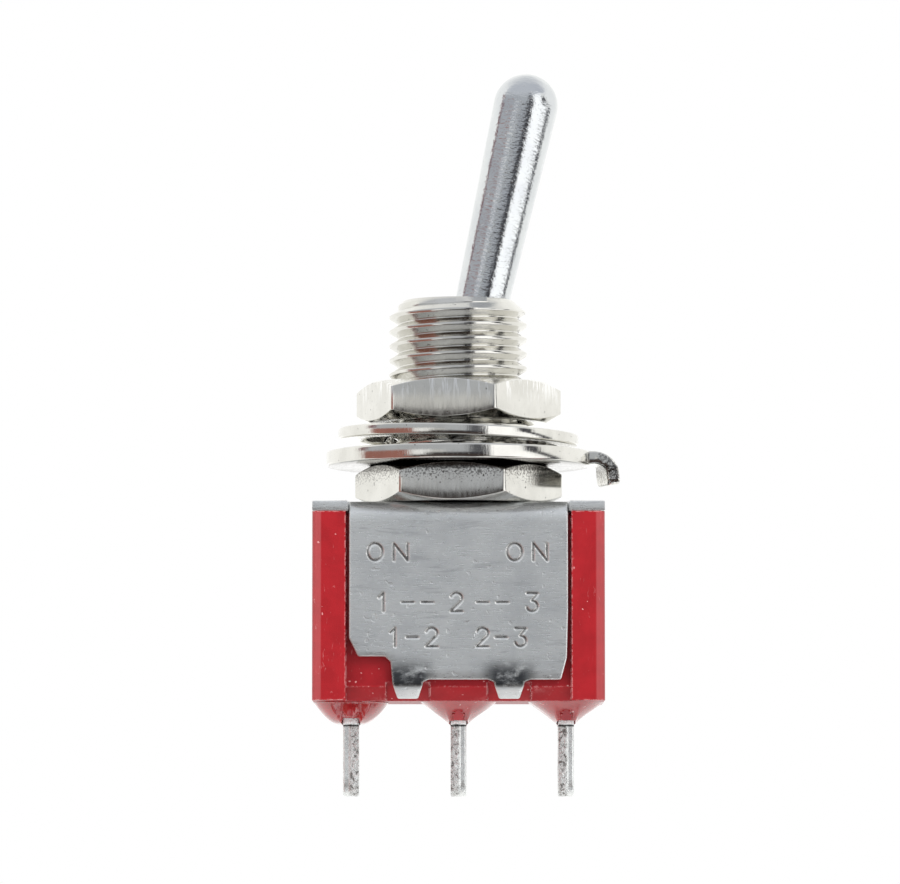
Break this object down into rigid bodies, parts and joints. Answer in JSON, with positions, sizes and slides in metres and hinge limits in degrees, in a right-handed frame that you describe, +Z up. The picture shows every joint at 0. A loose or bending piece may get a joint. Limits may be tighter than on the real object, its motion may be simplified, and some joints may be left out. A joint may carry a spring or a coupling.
{
  "type": "mini toggle switch",
  "caption": "Miniature bat-lever toggle switch with a red sealed case, folded steel frame, threaded bushing, hex nuts, washers and solder-lug terminals.",
  "frame": {"origin": "on the bushing's axis, in the plane of the upper nut's top face", "axes": "+Z up the bushing towards the lever, +X towards the side the lever is thrown to at rest, -Y is the front"},
  "size_m": [0.0131, 0.0116, 0.0318],
  "materials": {
    "case_plastic": "moulded satin red plastic with fine scuffs",
    "seal_resin": "red sealing resin, slightly glossy",
    "zinc_steel": "rolled and zinc-plated sheet",
    "nickel": "bright nickel plate, turned and stamped",
    "lever_chrome": "bright chrome plate",
    "tinned": "tinned, with sheared edges",
    "silver_contact": "satin silver",
    "spring_steel": "drawn wire",
    "brass_plunger": "turned brass",
    "brass_rocker": "stamped brass strip"
  },
  "bodies": {
    "root": {"case": "case_plastic", "frame": "zinc_steel", "bushing": "nickel", "terminal_common": "tinned", "terminal_left": "tinned", "terminal_right": "tinned", "contact_left": "silver_contact", "contact_right": "silver_contact", "seal_left": "seal_resin", "seal_common": "seal_resin", "seal_right": "seal_resin", "lower_nut": "nickel", "locating_washer": "nickel"},
    "lock_washer": {"lock_washer": "nickel"},
    "upper_nut": {"upper_nut": "nickel"},
    "lever": {"lever": "lever_chrome", "pivot_pin": "nickel", "spring": "spring_steel"},
    "plunger": {"plunger": "brass_plunger"},
    "rocker": {"rocker": "brass_rocker", "rocker_contact_left": "silver_contact", "rocker_contact_right": "silver_contact"}
  },
  "joints": [
    {"name": "lever_throw", "type": "hinge", "parent": "root", "child": "lever", "pos_m": [0, 0, -0.0011], "axis": [0, 1, 0], "range_deg": [-25, 0]},
    {"name": "rocker_tilt", "type": "hinge", "parent": "root", "child": "rocker", "pos_m": [0, 0, -0.00995], "axis": [0, 1, 0], "range_deg": [0, 20]},
    {"name": "plunger_slide", "type": "slide", "parent": "lever", "child": "plunger", "axis": [0.2164, 0, 0.9763], "range_m": [0, 0.0006], "stiffness_N_per_m": 800, "springref_m": -0.001, "deforming": ["spring"]},
    {"name": "upper_nut_turn", "type": "hinge", "parent": "root", "child": "lock_washer", "pos_m": [0, 0, 0], "axis": [0, 0, 1], "range_deg": [0, 2000]},
    {"name": "upper_nut_travel", "type": "slide", "parent": "lock_washer", "child": "upper_nut", "axis": [0, 0, 1], "range_m": [0, 0.0035]}
  ],
  "couplings": [
    {"joint": "rocker_tilt", "follows": "lever_throw", "ratio": -0.8},
    {"joint": "upper_nut_turn", "follows": "upper_nut_travel", "rad_per_m": 9894.8}
  ]
}
